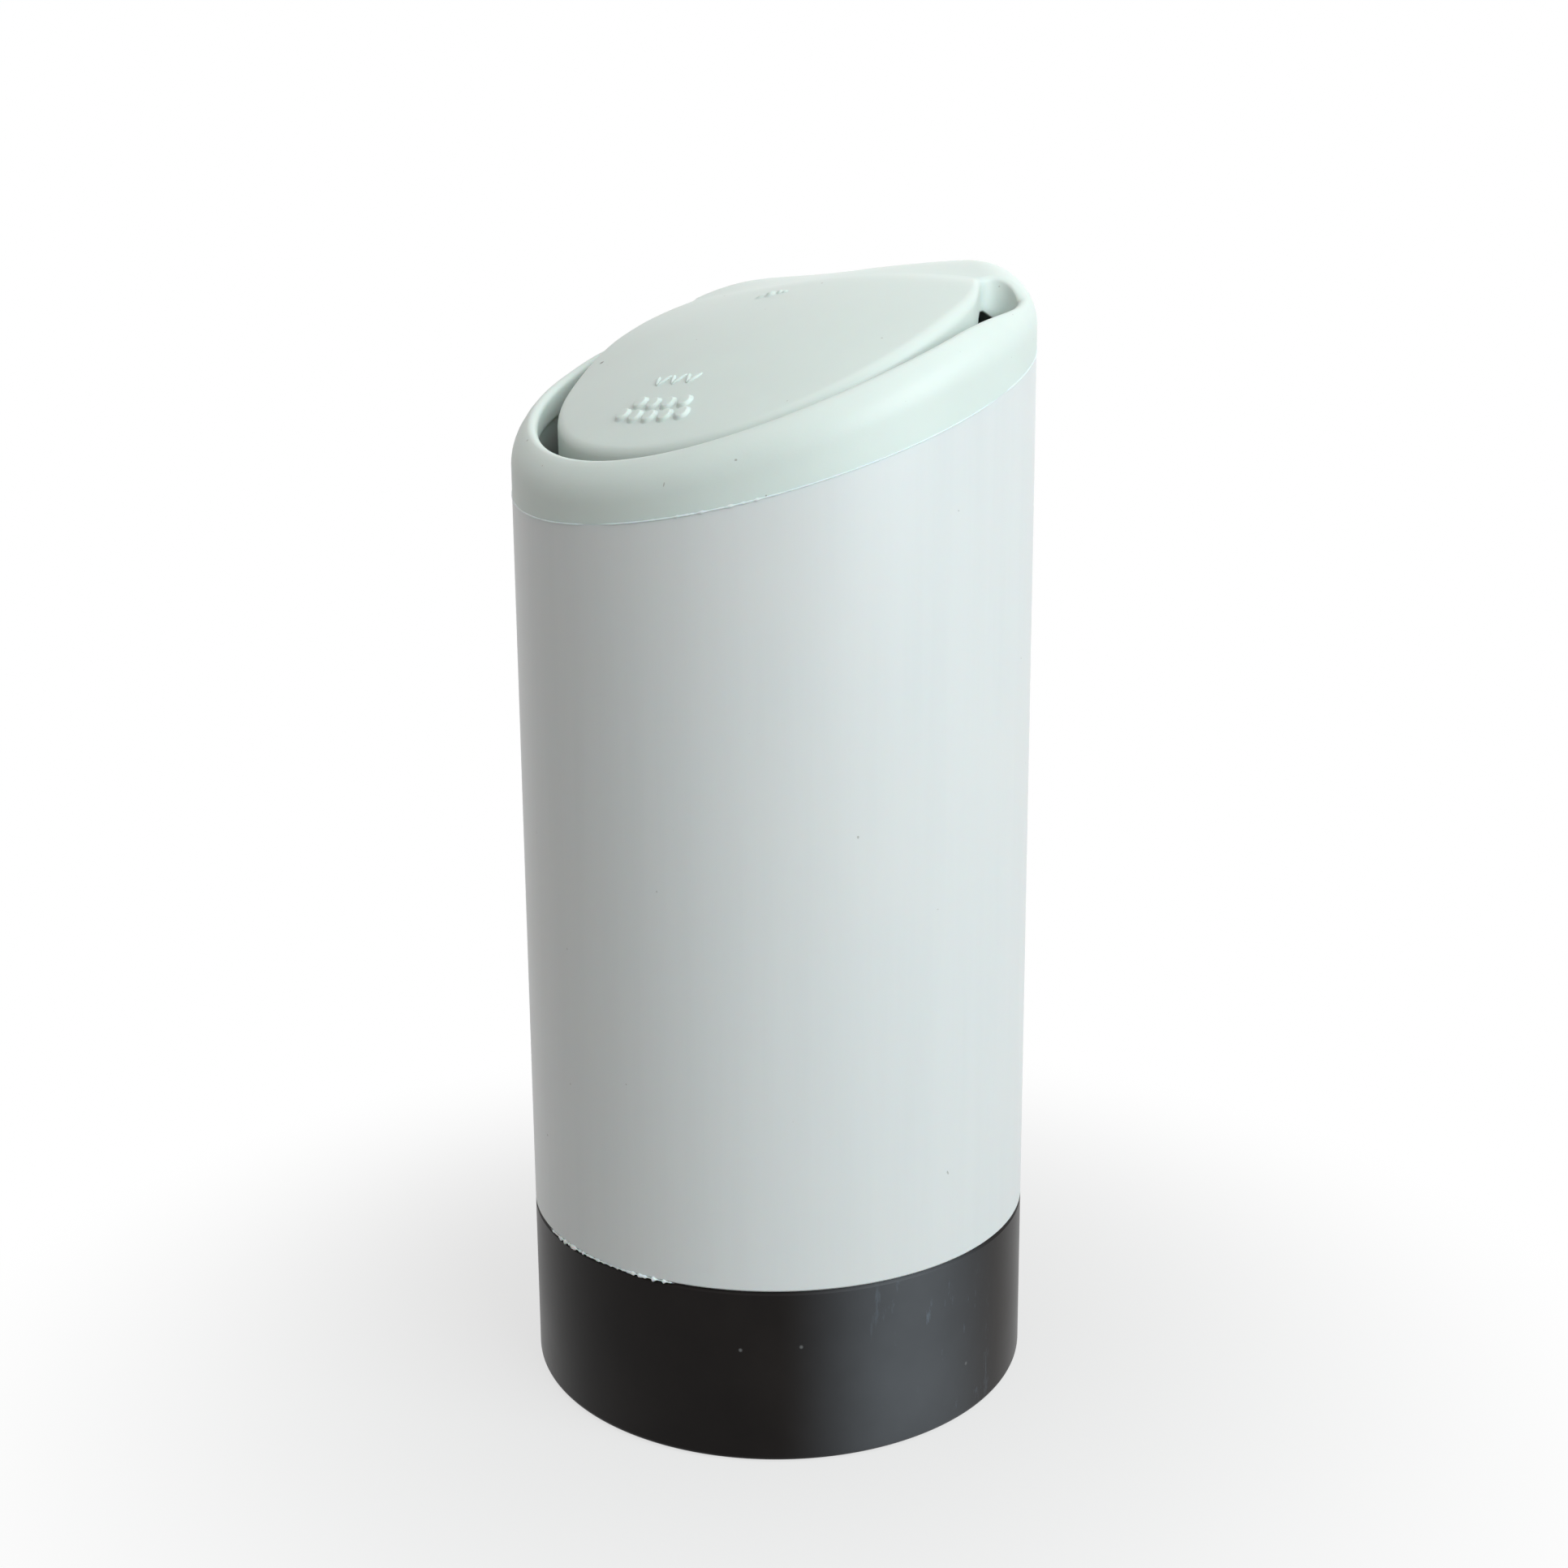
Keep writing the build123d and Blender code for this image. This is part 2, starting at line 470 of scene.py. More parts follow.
class Shell:
    """Gathers the points and faces of one mesh."""

    def __init__(self):
        self.points = []
        self.faces = []

    def add(self, points):
        """Keeps a row of points and gives their numbers."""
        first = len(self.points)
        self.points += [tuple(point) for point in points]
        return list(range(first, len(self.points)))

    def band(self, first, second, closed=False):
        """Quads between two rows of as many points."""
        count = len(first)
        for i in range(count if closed else count - 1):
            j = (i + 1) % count
            self.faces.append((first[i], first[j], second[j], second[i]))

    def rows(self, rows, closed=False):
        """Quads from each row to the next."""
        for first, second in zip(rows, rows[1:]):
            self.band(first, second, closed)

    def fill(self, outlines, lattice, height, inside):
        """Triangles between closed outlines, over the lattice's points that lie inside them."""
        edges, order = [], []
        for outline in outlines:
            base = len(order)
            order += outline
            edges += [(base + i, base + (i + 1) % len(outline)) for i in range(len(outline))]
        rim = np.array([self.points[i][:2] for i in order])
        clear = clear_share * ring_step
        inner = [p for p in lattice if inside(*p) and np.hypot(*(rim - p).T).min() > clear]
        order += self.add([(x, y, height(x, y)) for x, y in inner])
        plan = [Vector(self.points[i][:2]) for i in order]
        _, _, triangles, origins, _, _ = delaunay_2d_cdt(plan, edges, [], 0, same_place)
        for triangle in triangles:
            corners = [order[origins[i][0]] for i in triangle]
            middle = sum((Vector(self.points[i][:2]) for i in corners), Vector((0, 0))) / 3
            if inside(*middle):
                self.faces.append(tuple(corners))

    def finish(self, name, sharp=sharp_angle):
        """Makes the piece: closed, facing outwards, and smooth but for its sharp edges."""
        mesh = bpy.data.meshes.new(name)
        mesh.from_pydata([Vector(point) * MM for point in self.points], [], self.faces)
        work = bmesh.new()
        work.from_mesh(mesh)
        bmesh.ops.recalc_face_normals(work, faces=work.faces)
        work.to_mesh(mesh)
        work.free()
        mesh.polygons.foreach_set("use_smooth", [True] * len(mesh.polygons))
        mesh.set_sharp_from_angle(angle=math.radians(sharp))
        piece = bpy.data.objects.new(name, mesh)
        bpy.context.scene.collection.objects.link(piece)
        return piece


def circle(radius, height, count=columns):
    """A closed ring of points whose height is a number or height(x, y)."""
    points = []
    for i in range(count):
        angle = math.tau * i / count
        x, y = radius * math.cos(angle), radius * math.sin(angle)
        points.append((x, y, height(x, y) if callable(height) else height))
    return points


def polar_lattice(low, high):
    """Rings of points in line with the columns of the cap."""
    count = int((high - low) / ring_step)
    return [p[:2] for i in range(1, count) for p in circle(high - i * (high - low) / count, 0.0)]


def staggered_lattice(step):
    """Straight rows of points, each row half a step off the next."""
    reach = int(body_radius / step)
    rows = range(-reach, reach + 1)
    return [((i + 0.5 * (j % 2)) * step, j * step * lattice_row_share) for j in rows for i in rows]


def neck_line(right, left, height, count=neck_steps):
    """The points between the ends of the neck line, from left to right."""
    return [
        (x, neck_y, height(x, neck_y))
        for x in (left + (right - left) * i / count for i in range(1, count))
    ]


def within(points):
    """A test of whether x, y lies inside the closed outline of these points in plan."""
    outline = np.array([point[:2] for point in points])
    after = np.roll(outline, -1, axis=0)

    def inside(x, y):
        crossing = (outline[:, 1] > y) != (after[:, 1] > y)
        rise = np.where(crossing, after[:, 1] - outline[:, 1], 1.0)
        reach = outline[:, 0] + (y - outline[:, 1]) * (after[:, 0] - outline[:, 0]) / rise
        return np.count_nonzero(crossing & (x < reach)) % 2 == 1

    return inside


def close_neck(shell, rows, under):
    """The flat face across the neck line, between the ends of a slot wall: its top and low edges."""
    edges = []
    for row, height in ((rows[0], cap_top), (rows[-1], under)):
        right, left = shell.points[row[0]], shell.points[row[-1]]
        edges.append(shell.add(neck_line(right[0], left[0], height)))
    top_line, low_line = edges
    right_side = [row[0] for row in rows]
    left_side = [row[-1] for row in rows]
    shell.faces.append(tuple(right_side + low_line[::-1] + left_side[::-1] + top_line))
    return top_line, low_line


def seam_circle(radius, above):
    """A ring in line with the slanted seam."""
    return circle(radius, lambda x, y: on_seam(x, y, above))


def shoulder_circle(turn):
    """A ring of the cap's round shoulder, at this turn up from the wall."""
    radius = body_radius - shoulder_round * (1 - math.cos(turn))
    rise = shoulder_round * math.sin(turn)
    return circle(radius, lambda x, y: shoulder_at(math.atan2(y, x))[1] + rise)


def wall_circle(share):
    """A ring of the cap's outer wall, at this share of the way from the shoulder to the seam."""
    def height(x, y):
        start = shoulder_at(math.atan2(y, x))[1]
        return start + (on_seam(x, y, groove) - start) * share

    return circle(body_radius, height)


def cap_side():
    """Rings from the shoulder down the outer wall and the plug, and up the plug's inside."""
    steps = range(shoulder_steps, -1, -1)
    rings = [shoulder_circle(math.radians(shoulder_step_angle * step)) for step in steps]
    rings += [wall_circle(step / cap_wall_rows) for step in range(1, cap_wall_rows + 1)]
    rings += [
        seam_circle(body_radius - groove, seat_gap),
        seam_circle(plug_outer_radius, seat_gap),
        seam_circle(plug_outer_radius, plug_lead_in - plug_depth),
        seam_circle(plug_outer_radius - plug_lead_in, -plug_depth),
        seam_circle(plug_inner_radius, -plug_depth),
        seam_circle(plug_inner_radius, lip_above_seam),
    ]
    return rings


def make_rim():
    """The fixed part of the cap: rim, rear dome and the plug that goes down into the tube."""
    def under(x, y):
        return cap_top(x, y) - skin

    shell = Shell()
    profiles = [wall_profile(station, cap_top) for station in rim_stations()]
    rows = [shell.add(row) for row in zip(*profiles)]
    shell.rows(rows)
    top_line, low_line = close_neck(shell, rows, under)

    rings = [shell.add(ring) for ring in cap_side()]
    shell.rows(rings, closed=True)

    lattice = polar_lattice(neck_y - ring_step, body_radius)
    for hole, ring, height in (
        (rows[0] + top_line, rings[0], cap_top),
        (rows[-1] + low_line, rings[-1], under),
    ):
        in_hole = within([shell.points[i] for i in hole])
        in_ring = within([shell.points[i] for i in ring])
        shell.fill([hole, ring], lattice, height, lambda x, y: in_ring(x, y) and not in_hole(x, y))
    return shell.finish("cap_rim")


def skirt_profile(station, under):
    """The flap's side: its wall, the foot of its skirt, and back up to its underside."""
    points = wall_profile(station, flap_top)
    for d, lift in ((skirt_wall - bottom_edge, 0.0), (skirt_wall, bottom_edge)):
        plan = station.foot + station.into * d
        points.append((plan.x, plan.y, station.bottom + lift))
    for d, drop in ((skirt_wall, skirt_corner), (skirt_wall + skirt_corner, 0.0)):
        plan = station.foot + station.into * d
        points.append((plan.x, plan.y, under(plan.x, plan.y) - drop))
    return points


def make_flap():
    """The flap with its skirt and its neck, up to the neck line."""
    def under(x, y):
        return flap_top(x, y) - skin

    shell = Shell()
    profiles = [skirt_profile(station, under) for station in flap_stations()]
    rows = [shell.add(row) for row in zip(*profiles)]
    shell.rows(rows)
    top_line, low_line = close_neck(shell, rows, under)

    lattice = staggered_lattice(lattice_step)
    for row, line, height in ((rows[0], top_line, flap_top), (rows[-1], low_line, under)):
        shell.fill([row + line], lattice, height, within([shell.points[i] for i in row + line]))
    return shell.finish("push_flap_skin")


def make_tube():
    """The straight tube, cut on a slant at its top, with a small bevel at both ends."""
    shell = Shell()
    inner_radius = body_radius - tube_wall
    low = base_height + tube_bevel
    outlines = [circle(inner_radius, base_height), circle(body_radius - tube_bevel, base_height)]
    for step in range(tube_rows + 1):
        share = step / tube_rows
        outlines.append(circle(body_radius, lambda x, y: low + (on_seam(x, y, -groove) - low) * share))
    outlines += [seam_circle(body_radius - groove, 0.0), seam_circle(inner_radius, 0.0)]
    rings = [shell.add(outline) for outline in outlines]
    shell.rows(rings + rings[:1], closed=True)
    return shell.finish("body_tube_skin")


def make_base():
    """The base cup, turned about the axis: foot recess, round foot, bevelled rim, spigot and floor."""
    shell = Shell()
    foot_radius = body_radius - foot_ring_width
    profile = [(foot_radius, foot_recess_depth), (foot_radius, 0.0)]
    for step in range(base_round_steps + 1):
        turn = math.radians(90 * step / base_round_steps)
        profile.append((
            body_radius - base_bottom_round * (1 - math.sin(turn)),
            base_bottom_round * (1 - math.cos(turn)),
        ))
    profile += [
        (body_radius, base_height - base_top_bevel),
        (body_radius - base_top_bevel, base_height),
        (spigot_outer_radius, base_height),
        (spigot_outer_radius, spigot_top - spigot_lead_in),
        (spigot_outer_radius - spigot_lead_in, spigot_top),
        (spigot_inner_radius, spigot_top),
        (spigot_inner_radius, base_height - base_wall),
        (body_radius - base_wall, base_height - base_wall),
        (body_radius - base_wall, base_floor_top),
    ]
    rings = [shell.add(circle(radius, height)) for radius, height in profile]
    shell.rows(rings, closed=True)
    shell.faces.append(tuple(rings[0]))
    shell.faces.append(tuple(rings[-1]))
    return shell.finish("base_cup_skin")


def make_bead(name, first, last, height, size):
    """An uneven thread of plastic on the body's wall, from one angle to another, with tapered ends."""
    shell = Shell()
    rows = []
    all_round = last - first == 360
    count = int((last - first) * bead_steps_per_degree)
    for i in range(count if all_round else count + 1):
        angle = first + (last - first) * i / count
        out = heading(angle)
        taper = 1.0 if all_round else smooth(min(i, count - i), 0, bead_taper_steps)
        thick = size(angle, out) * (bead_end_share + (1 - bead_end_share) * taper)
        most = (body_radius - box_inset) / max(abs(out.x), abs(out.y))
        centre = min(body_radius - bead_inset, most - thick)
        row = []
        for side in range(bead_sides):
            around = math.tau * side / bead_sides
            far = centre + thick * math.cos(around)
            x, y = out.x * far, out.y * far
            row.append((x, y, height(x, y) + thick * math.sin(around)))
        rows.append(shell.add(row))
    shell.rows(rows + rows[:1] if all_round else rows, closed=True)
    if not all_round:
        shell.faces += [tuple(rows[0]), tuple(rows[-1])]
    return shell.finish(name, sharp=180.0)


def waves(out, layer, scale):
    """Smooth noise round the body, about -1 to 1. Each layer is another pattern."""
    return noise.noise(Vector((out.x, out.y, layer)) * scale)


def make_flash():
    """The thin flash along the seam, with larger lumps on the side that faces the camera."""
    def size(angle, out):
        ripple = flash_ripple * waves(out, 0.0, flash_waves)
        lump = flash_lump * smooth(waves(out, 3.0, flash_lump_waves), *flash_lump_span)
        worst = smooth(angle, *flash_lumps_start) * (1 - smooth(angle, *flash_lumps_end))
        return flash_radius * (flash_even + ripple + lump * worst)

    return make_bead("seam_flash", 0, 360, on_seam, size)


def make_burr():
    """The ragged edge at the foot of the tube."""
    def size(angle, out):
        tooth = smooth(waves(out, 0.0, burr_waves), *burr_span)
        return burr_radius * (burr_least + (1 - burr_least) * tooth)

    def height(x, y):
        return base_height + burr_lift

    return make_bead("tube_burr", burr_from_angle, burr_to_angle, height, size)


def surface_frame(x, y):
    """A point of the flap's outside and its outward direction."""
    step = frame_probe
    rise_x = (flap_top(x + step, y) - flap_top(x - step, y)) / (2 * step)
    rise_y = (flap_top(x, y + step) - flap_top(x, y - step)) / (2 * step)
    return Vector((x, y, flap_top(x, y))), Vector((-rise_x, -rise_y, 1.0)).normalized()


def bump_profile(radius, height, spread, flank_from, sag, root, rings):
    """Points (radius, height) of a bump, from its middle over its soft flank to its sunk foot."""
    reach = spread * radius
    profile = [(0.0, height)]
    for step in range(1, rings + 1):
        far = reach * step / rings
        flank = 1 - smooth(far, flank_from * radius, reach)
        profile.append((far, height * flank * (1 - sag * (far / radius) ** 2)))
    profile.append((reach + foot_spread, -root))
    return profile


def add_bump(shell, x, y, profile, points=28):
    """A round bump on the flap: rings of (radius, height) that follow the crown."""
    foot, out = surface_frame(x, y)
    centre = shell.add([foot + out * profile[0][1]])
    rings = []
    for radius, height in profile[1:]:
        ring = []
        for i in range(points):
            turn = math.tau * i / points
            foot, out = surface_frame(x + radius * math.cos(turn), y + radius * math.sin(turn))
            ring.append(foot + out * height)
        rings.append(shell.add(ring))
    shell.rows(rings, closed=True)
    for i in range(points):
        shell.faces.append((centre[0], rings[0][i], rings[0][(i + 1) % points]))
    shell.faces.append(tuple(rings[-1][::-1]))


def make_dots():
    """Two rows of low round dots along the flap's rim, with soft flanks."""
    shell = Shell()
    profile = bump_profile(dot_radius, dot_proud, spread=1.12, flank_from=0.72, sag=0.12, root=0.25, rings=14)
    for row, count in enumerate(dots_in_rows):
        row_radius = dot_row_radius - row * dot_row_pitch
        for index in range(count):
            turn = (index - (count - 1) / 2) * dot_pitch / row_radius + math.radians(dot_rows_turn)
            add_bump(shell, row_radius * math.sin(turn), -row_radius * math.cos(turn), profile)
    return shell.finish("grip_dots", sharp=sharp_angle_of_marks)


def add_stroke(shell, start, end, width, height):
    """A raised bar on the flap from start to end, with a round section and closed ends."""
    along = (end - start).normalized()
    across = Vector((-along.y, along.x))
    sections = []
    for i in range(stroke_steps + 1):
        share = i / stroke_steps
        swell = max(math.sin(math.pi * share), stroke_end_least) ** stroke_end_power
        middle = start.lerp(end, share)
        section = []
        for step in range(stroke_arc_steps + 1):
            turn = math.pi * step / stroke_arc_steps
            plan = middle + across * width / 2 * math.cos(turn) * swell
            foot, out = surface_frame(plan.x, plan.y)
            section.append(foot + out * (height * math.sin(turn) * swell - stroke_sink))
        sections.append(shell.add(section))
    shell.rows(sections)
    shell.faces += [tuple(sections[0]), tuple(sections[-1])]
    for a, b in zip(sections, sections[1:]):
        shell.faces.append((a[0], b[0], b[-1], a[-1]))


def make_chevrons():
    """A row of small raised chevrons that point down the slope, above the dots."""
    shell = Shell()
    for index in range(chevron_count):
        middle = Vector((chevron_x + (index - (chevron_count - 1) / 2) * chevron_pitch, chevron_y))
        tip = middle - Vector((0, chevron_size / 2))
        for side in (-1, 1):
            wing = middle + Vector((side * chevron_size * chevron_wing[0], chevron_size * chevron_wing[1]))
            add_stroke(shell, wing, tip, chevron_stroke, chevron_proud)
    return shell.finish("press_chevrons", sharp=sharp_angle_of_marks)


def make_gate_mark():
    """The small scar where the moulding's sprue was cut off."""
    shell = Shell()
    for dx, dy, radius, height in gate_lumps:
        profile = bump_profile(radius, height, spread=1.2, flank_from=0.2, sag=0.0, root=0.15, rings=8)
        add_bump(shell, gate_x + dx, gate_y + dy, profile, points=14)
    return shell.finish("gate_mark", sharp=sharp_angle_of_marks)


class Finish:
    """A plastic's node tree, built up step by step on the Principled shader."""

    def __init__(self, name, color, roughness, **fixed):
        self.material = bpy.data.materials.new(name)
        self.material.use_nodes = True
        self.tree = self.material.node_tree
        self.shader = self.tree.nodes["Principled BSDF"]
        self.shader.inputs["Base Color"].default_value = (*color, 1.0)
        self.shader.inputs["Roughness"].default_value = roughness
        for label, value in fixed.items():
            self.shader.inputs[label.replace("_", " ")].default_value = value
        self.place = self.node("ShaderNodeTexCoord").outputs["Object"]
        self.normal = None

    def node(self, kind, **settings):
        node = self.tree.nodes.new(kind)
        for name, value in settings.items():
            setattr(node, name, value)
        return node

    def link(self, source, target):
        self.tree.links.new(source, target)

    def noise(self, scale, detail=4.0, roughness=0.55, stretch=(1.0, 1.0, 1.0)):
        """Grey noise in the object's own place: features of about 1 / scale metres."""
        mapping = self.node("ShaderNodeMapping")
        mapping.inputs["Scale"].default_value = stretch
        self.link(self.place, mapping.inputs["Vector"])
        texture = self.node("ShaderNodeTexNoise")
        texture.inputs["Scale"].default_value = scale
        texture.inputs["Detail"].default_value = detail
        texture.inputs["Roughness"].default_value = roughness
        self.link(mapping.outputs["Vector"], texture.inputs["Vector"])
        return texture.outputs["Fac"]

    def ramp(self, source, low, high, start=0.0, end=1.0):
        """Start where the source is at low, end where it is at high, and held beyond both."""
        node = self.node("ShaderNodeMapRange", clamp=True)
        for name, value in (("From Min", low), ("From Max", high), ("To Min", start), ("To Max", end)):
            node.inputs[name].default_value = value
        self.link(source, node.inputs["Value"])
        return node.outputs["Result"]

    def times(self, first, second):
        """The first, which is worked out over the surface, times the second or a number."""
        node = self.node("ShaderNodeMath", operation="MULTIPLY")
        self.link(first, node.inputs[0])
        if isinstance(second, float):
            node.inputs[1].default_value = second
        else:
            self.link(second, node.inputs[1])
        return node.outputs["Value"]

    def near(self, point, reach, fade):
        """1 near a point given in millimetres, falling to 0 between reach and reach + fade."""
        node = self.node("ShaderNodeVectorMath", operation="DISTANCE")
        self.link(self.place, node.inputs[0])
        node.inputs[1].default_value = [value * MM for value in point]
        return self.ramp(node.outputs["Value"], reach * MM, (reach + fade) * MM, start=1.0, end=0.0)

    def upright_band(self, angle, width):
        """1 along the upright line at this angle round the axis, falling to 0 within width degrees."""
        node = self.node("ShaderNodeVectorMath", operation="DOT_PRODUCT")
        self.link(self.place, node.inputs[0])
        node.inputs[1].default_value = (*heading(angle), 0.0)
        radius = body_radius * MM
        return self.ramp(node.outputs["Value"], radius * math.cos(math.radians(width)), radius)

    def tint(self, color, share):
        """Lays a colour over what the shader has, by a share from 0 to 1."""
        mix = self.node("ShaderNodeMix", data_type="RGBA")
        socket = self.shader.inputs["Base Color"]
        if socket.is_linked:
            self.link(socket.links[0].from_socket, mix.inputs["A"])
        else:
            mix.inputs["A"].default_value = socket.default_value
        mix.inputs["B"].default_value = (*color, 1.0)
        self.link(share, mix.inputs["Factor"])
        self.link(mix.outputs["Result"], socket)

    def rough(self, share, low, high):
        """A roughness from low to high, by a share from 0 to 1."""
        self.link(self.ramp(share, 0.0, 1.0, low, high), self.shader.inputs["Roughness"])

    def bump(self, height, depth):
        """Raises the surface by height, which runs from 0 to 1, times depth in millimetres."""
        node = self.node("ShaderNodeBump")
        node.inputs["Strength"].default_value = 1.0
        node.inputs["Distance"].default_value = depth * MM
        self.link(height, node.inputs["Height"])
        if self.normal is not None:
            self.link(self.normal, node.inputs["Normal"])
        self.normal = node.outputs["Normal"]
        self.link(self.normal, self.shader.inputs["Normal"])


def on_wall(angle, height):
    """A point of the body's outside, from its angle in degrees and its height."""
    turn = math.radians(angle)
    return body_radius * math.cos(turn), body_radius * math.sin(turn), height


def soft_white_finish():
    """Soft white plastic with a slight green cast, a fine matt grain, grey specks and one dark one."""
    finish = Finish(
        "soft_white",
        color=(0.68, 0.745, 0.70),
        roughness=0.42,
        Subsurface_Weight=0.12,
        Subsurface_Scale=0.002,
    )
    mottle = finish.noise(scale=90.0, detail=3.0)
    finish.tint((0.70, 0.765, 0.72), finish.ramp(mottle, low=0.35, high=0.65, end=0.8))
    specks = finish.noise(scale=900.0, detail=1.0)
    finish.tint((0.42, 0.42, 0.38), finish.ramp(specks, low=0.80, high=0.83))
    dark_speck = (*speck_place, flap_top(*speck_place))
    finish.tint((0.22, 0.22, 0.20), finish.near(dark_speck, reach=0.2, fade=0.25))
    finish.rough(mottle, low=0.36, high=0.50)
    finish.bump(finish.noise(scale=260.0, detail=5.0), depth=0.03)
    finish.bump(finish.noise(scale=2600.0, detail=2.0), depth=0.006)
    return finish.material


def white_finish():
    """Smoother white plastic with faint upright flow lines and grey specks."""
    finish = Finish(
        "white_plastic",
        color=(0.72, 0.735, 0.73),
        roughness=0.34,
        Subsurface_Weight=0.12,
        Subsurface_Scale=0.002,
    )
    streaks = finish.noise(scale=300.0, detail=4.0, roughness=0.6, stretch=(1.0, 1.0, 0.04))
    finish.tint((0.68, 0.70, 0.695), finish.ramp(streaks, low=0.40, high=0.75, end=0.55))
    cloud = finish.noise(scale=28.0, detail=3.0)
    finish.tint((0.745, 0.745, 0.73), finish.ramp(cloud, low=0.45, high=0.75, end=0.6))
    specks = finish.noise(scale=760.0, detail=1.0)
    finish.tint((0.45, 0.45, 0.42), finish.ramp(specks, low=0.81, high=0.84))
    finish.rough(cloud, low=0.30, high=0.44)
    finish.bump(streaks, depth=0.012)
    finish.bump(finish.noise(scale=2200.0, detail=2.0), depth=0.004)
    return finish.material


def flash_finish():
    """Thin plastic threads, paler than the walls because light comes through them."""
    finish = Finish(
        "flash_white",
        color=(0.86, 0.88, 0.87),
        roughness=0.30,
        Subsurface_Weight=0.3,
        Subsurface_Scale=0.001,
    )
    grain = finish.noise(scale=1500.0, detail=3.0)
    finish.tint((0.80, 0.83, 0.81), finish.ramp(grain, low=0.4, high=0.7))
    finish.bump(grain, depth=0.02)
    return finish.material


def black_finish():
    """Black plastic with a satin gloss, a painted reflection in a pale upright band, fine scratches in pale
    scuffs, and a few chips.
    """
    finish = Finish("black_plastic", color=(0.010, 0.008, 0.0075), roughness=0.32, Specular_IOR_Level=0.09)
    cloud = finish.noise(scale=45.0, detail=4.0)
    finish.tint((0.016, 0.013, 0.012), finish.ramp(cloud, low=0.40, high=0.70))
    scratches = finish.noise(scale=500.0, detail=6.0, roughness=0.7, stretch=(1.0, 1.0, 0.25))
    scratches = finish.ramp(scratches, low=0.60, high=0.72)
    # Painted reflection: a pale bluish upright band on the black base stands in for the floor and lamps
    # mirrored in it
    band = finish.upright_band(painted_reflection_angle, painted_reflection_width)
    painted_reflection = finish.times(finish.times(band, band), finish.ramp(cloud, low=0.2, high=0.9, start=0.6))
    finish.tint((0.11, 0.115, 0.125), painted_reflection)
    for angle, height, spread in scuff_places:
        zone = finish.near(on_wall(angle, height), reach=0.3 * spread, fade=spread)
        finish.tint((0.16, 0.19, 0.23), finish.times(finish.times(zone, scratches), 0.8))
    for angle, height in chip_places:
        finish.tint((0.14, 0.14, 0.14), finish.near(on_wall(angle, height), reach=0.10, fade=0.22))
    finish.rough(cloud, low=0.24, high=0.42)
    finish.bump(finish.noise(scale=700.0, detail=5.0, roughness=0.65), depth=0.008)
    return finish.material


def dress(piece, slot, material, *nodes, body=None):
    """Gives a piece its material, the CAD nodes it stands for and its body. The slot is not used."""
    piece.data.materials.clear()
    piece.data.materials.append(material)
    if nodes:
        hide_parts(*nodes)
    if body:
        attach(piece, body)


soft_white = soft_white_finish()
white_plastic = white_finish()
black_plastic = black_finish()
flash_white = flash_finish()

dress(make_rim(), "soft_white", soft_white, "push_cap", body="cap")
dress(make_flash(), "soft_white", flash_white, body="cap")

flap = make_flap()
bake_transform(flap)
dress(flap, "soft_white", soft_white, "push_flap")
for make_mark in (make_dots, make_chevrons, make_gate_mark):
    dress(make_mark(), "soft_white", soft_white, body="flap")

dress(make_tube(), "white_plastic", white_plastic, "body_tube", body="bin")
dress(make_burr(), "white_plastic", flash_white, body="bin")
dress(make_base(), "black_plastic", black_plastic, "base_cup", body="bin")


def seen_directly(tree):
    """1 for camera, glossy and transmission rays, which see the white background, and 0 for light."""
    path = tree.nodes.new("ShaderNodeLightPath")
    seen = path.outputs["Is Camera Ray"]
    for name in ("Is Glossy Ray", "Is Transmission Ray"):
        either = tree.nodes.new("ShaderNodeMath")
        either.operation = "MAXIMUM"
        tree.links.new(seen, either.inputs[0])
        tree.links.new(path.outputs[name], either.inputs[1])
        seen = either.outputs["Value"]
    return seen


def floor_material():
    """Shaded near the object, and white for direct sight further out."""
    material = bpy.data.materials.new("floor")
    material.use_nodes = True
    tree = material.node_tree
    tree.nodes.remove(tree.nodes["Principled BSDF"])
    output = tree.nodes["Material Output"]
    shade = tree.nodes.new("ShaderNodeBsdfDiffuse")
    shade.inputs["Color"].default_value = (*floor_color, 1.0)
    white = tree.nodes.new("ShaderNodeEmission")
    white.inputs["Color"].default_value = (1.0, 1.0, 1.0, 1.0)
    place = tree.nodes.new("ShaderNodeTexCoord")
    far = tree.nodes.new("ShaderNodeVectorMath")
    far.operation = "LENGTH"
    fade = tree.nodes.new("ShaderNodeMapRange")
    fade.interpolation_type = "SMOOTHSTEP"
    fade.inputs["From Min"].default_value = floor_fade_span[0]
    fade.inputs["From Max"].default_value = floor_fade_span[1]
    fade.inputs["To Min"].default_value = floor_least_white
    share = tree.nodes.new("ShaderNodeMath")
    share.operation = "MULTIPLY"
    mix = tree.nodes.new("ShaderNodeMixShader")
    for source, target in (
        (place.outputs["Object"], far.inputs[0]),
        (far.outputs["Value"], fade.inputs["Value"]),
        (seen_directly(tree), share.inputs[0]),
        (fade.outputs["Result"], share.inputs[1]),
        (share.outputs["Value"], mix.inputs["Fac"]),
        (shade.outputs["BSDF"], mix.inputs[1]),
        (white.outputs["Emission"], mix.inputs[2]),
        (mix.outputs["Shader"], output.inputs["Surface"]),
    ):
        tree.links.new(source, target)
    return material


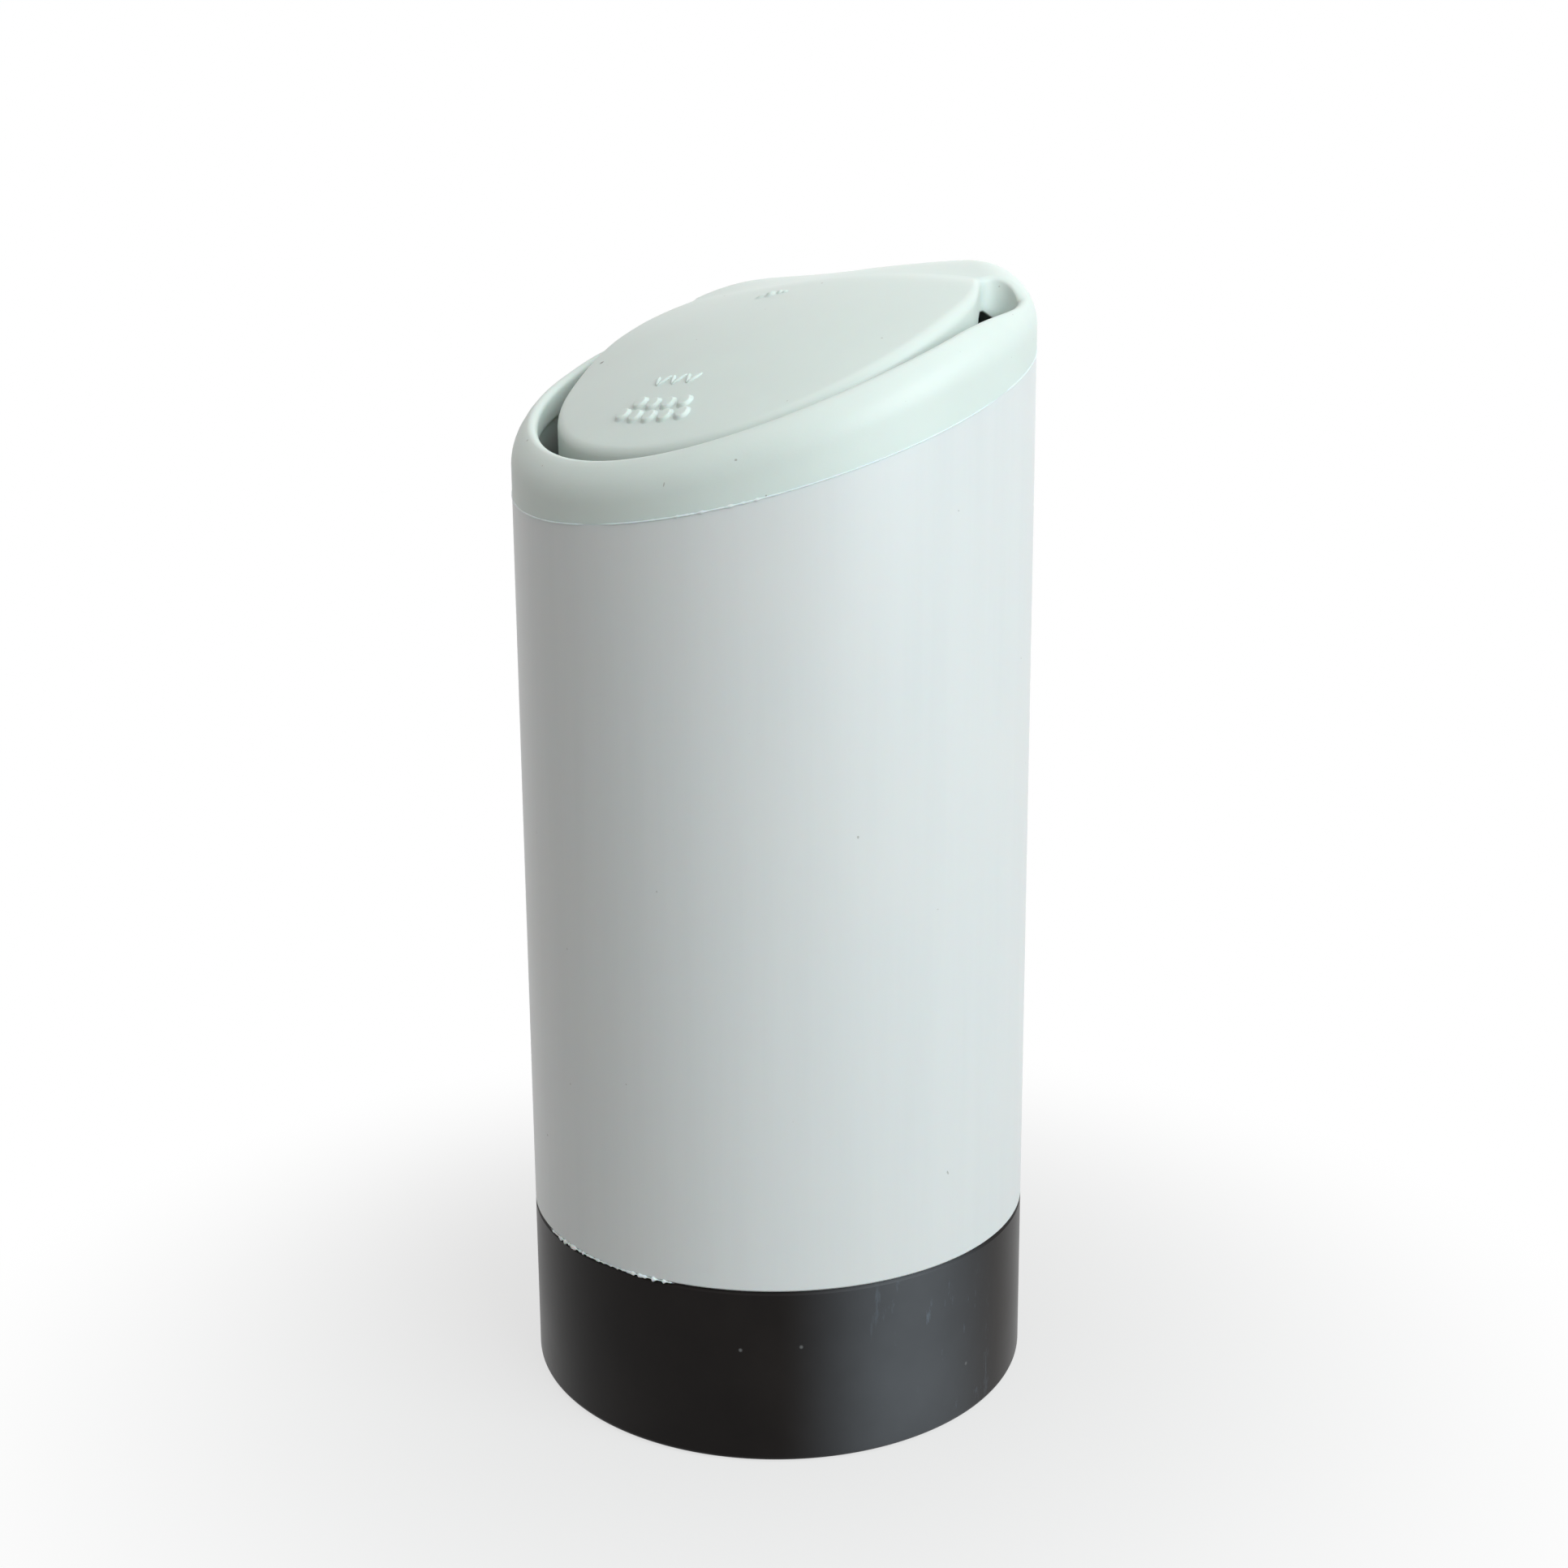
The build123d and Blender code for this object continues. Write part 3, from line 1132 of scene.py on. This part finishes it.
def make_floor():
    """A plain pale floor that fades into the white background and keeps the object's shadow."""
    mesh = bpy.data.meshes.new("floor")
    corners = [(x * floor_reach, y * floor_reach, 0) for x, y in ((-1, -1), (1, -1), (1, 1), (-1, 1))]
    mesh.from_pydata(corners, [], [(0, 1, 2, 3)])
    mesh.materials.append(floor_material())
    floor = bpy.data.objects.new("floor", mesh)
    bpy.context.scene.collection.objects.link(floor)
    floor.location.z = -floor_drop


def make_world():
    """Plain soft light from all round, seen as white."""
    world = bpy.data.worlds.new("studio")
    bpy.context.scene.world = world
    world.use_nodes = True
    tree = world.node_tree
    light = tree.nodes["Background"]
    light.inputs["Color"].default_value = (*world_color, 1.0)
    light.inputs["Strength"].default_value = world_light
    white = tree.nodes.new("ShaderNodeBackground")
    white.inputs["Color"].default_value = (1.0, 1.0, 1.0, 1.0)
    mix = tree.nodes.new("ShaderNodeMixShader")
    tree.links.new(seen_directly(tree), mix.inputs["Fac"])
    tree.links.new(light.outputs["Background"], mix.inputs[1])
    tree.links.new(white.outputs["Background"], mix.inputs[2])
    tree.links.new(mix.outputs["Shader"], tree.nodes["World Output"].inputs["Surface"])


def add_lamp(name, place, size, power, color):
    """A square soft box that faces the middle of the object."""
    data = bpy.data.lights.new(name, "AREA")
    data.size = size
    data.energy = power
    data.color = color
    lamp = bpy.data.objects.new(name, data)
    bpy.context.scene.collection.objects.link(lamp)
    lamp.location = Vector(place)
    aim = lamp_target - lamp.location
    lamp.rotation_euler = aim.to_track_quat("-Z", "Y").to_euler()


def make_camera():
    """The camera stands where the photograph was taken from."""
    camera = bpy.data.objects.new("camera", bpy.data.cameras.new("camera"))
    bpy.context.scene.collection.objects.link(camera)
    turned = Matrix((camera_right, camera_up, -camera_ahead)).transposed().to_4x4()
    camera.matrix_world = Matrix.Translation(camera_place * MM) @ turned
    camera.data.sensor_width = camera_sensor
    camera.data.lens = camera_lens
    camera.data.clip_start = camera_near
    bpy.context.scene.camera = camera


make_floor()
make_world()
for lamp in lamps:
    add_lamp(*lamp)
make_camera()
bpy.context.scene.view_settings.view_transform = "Standard"
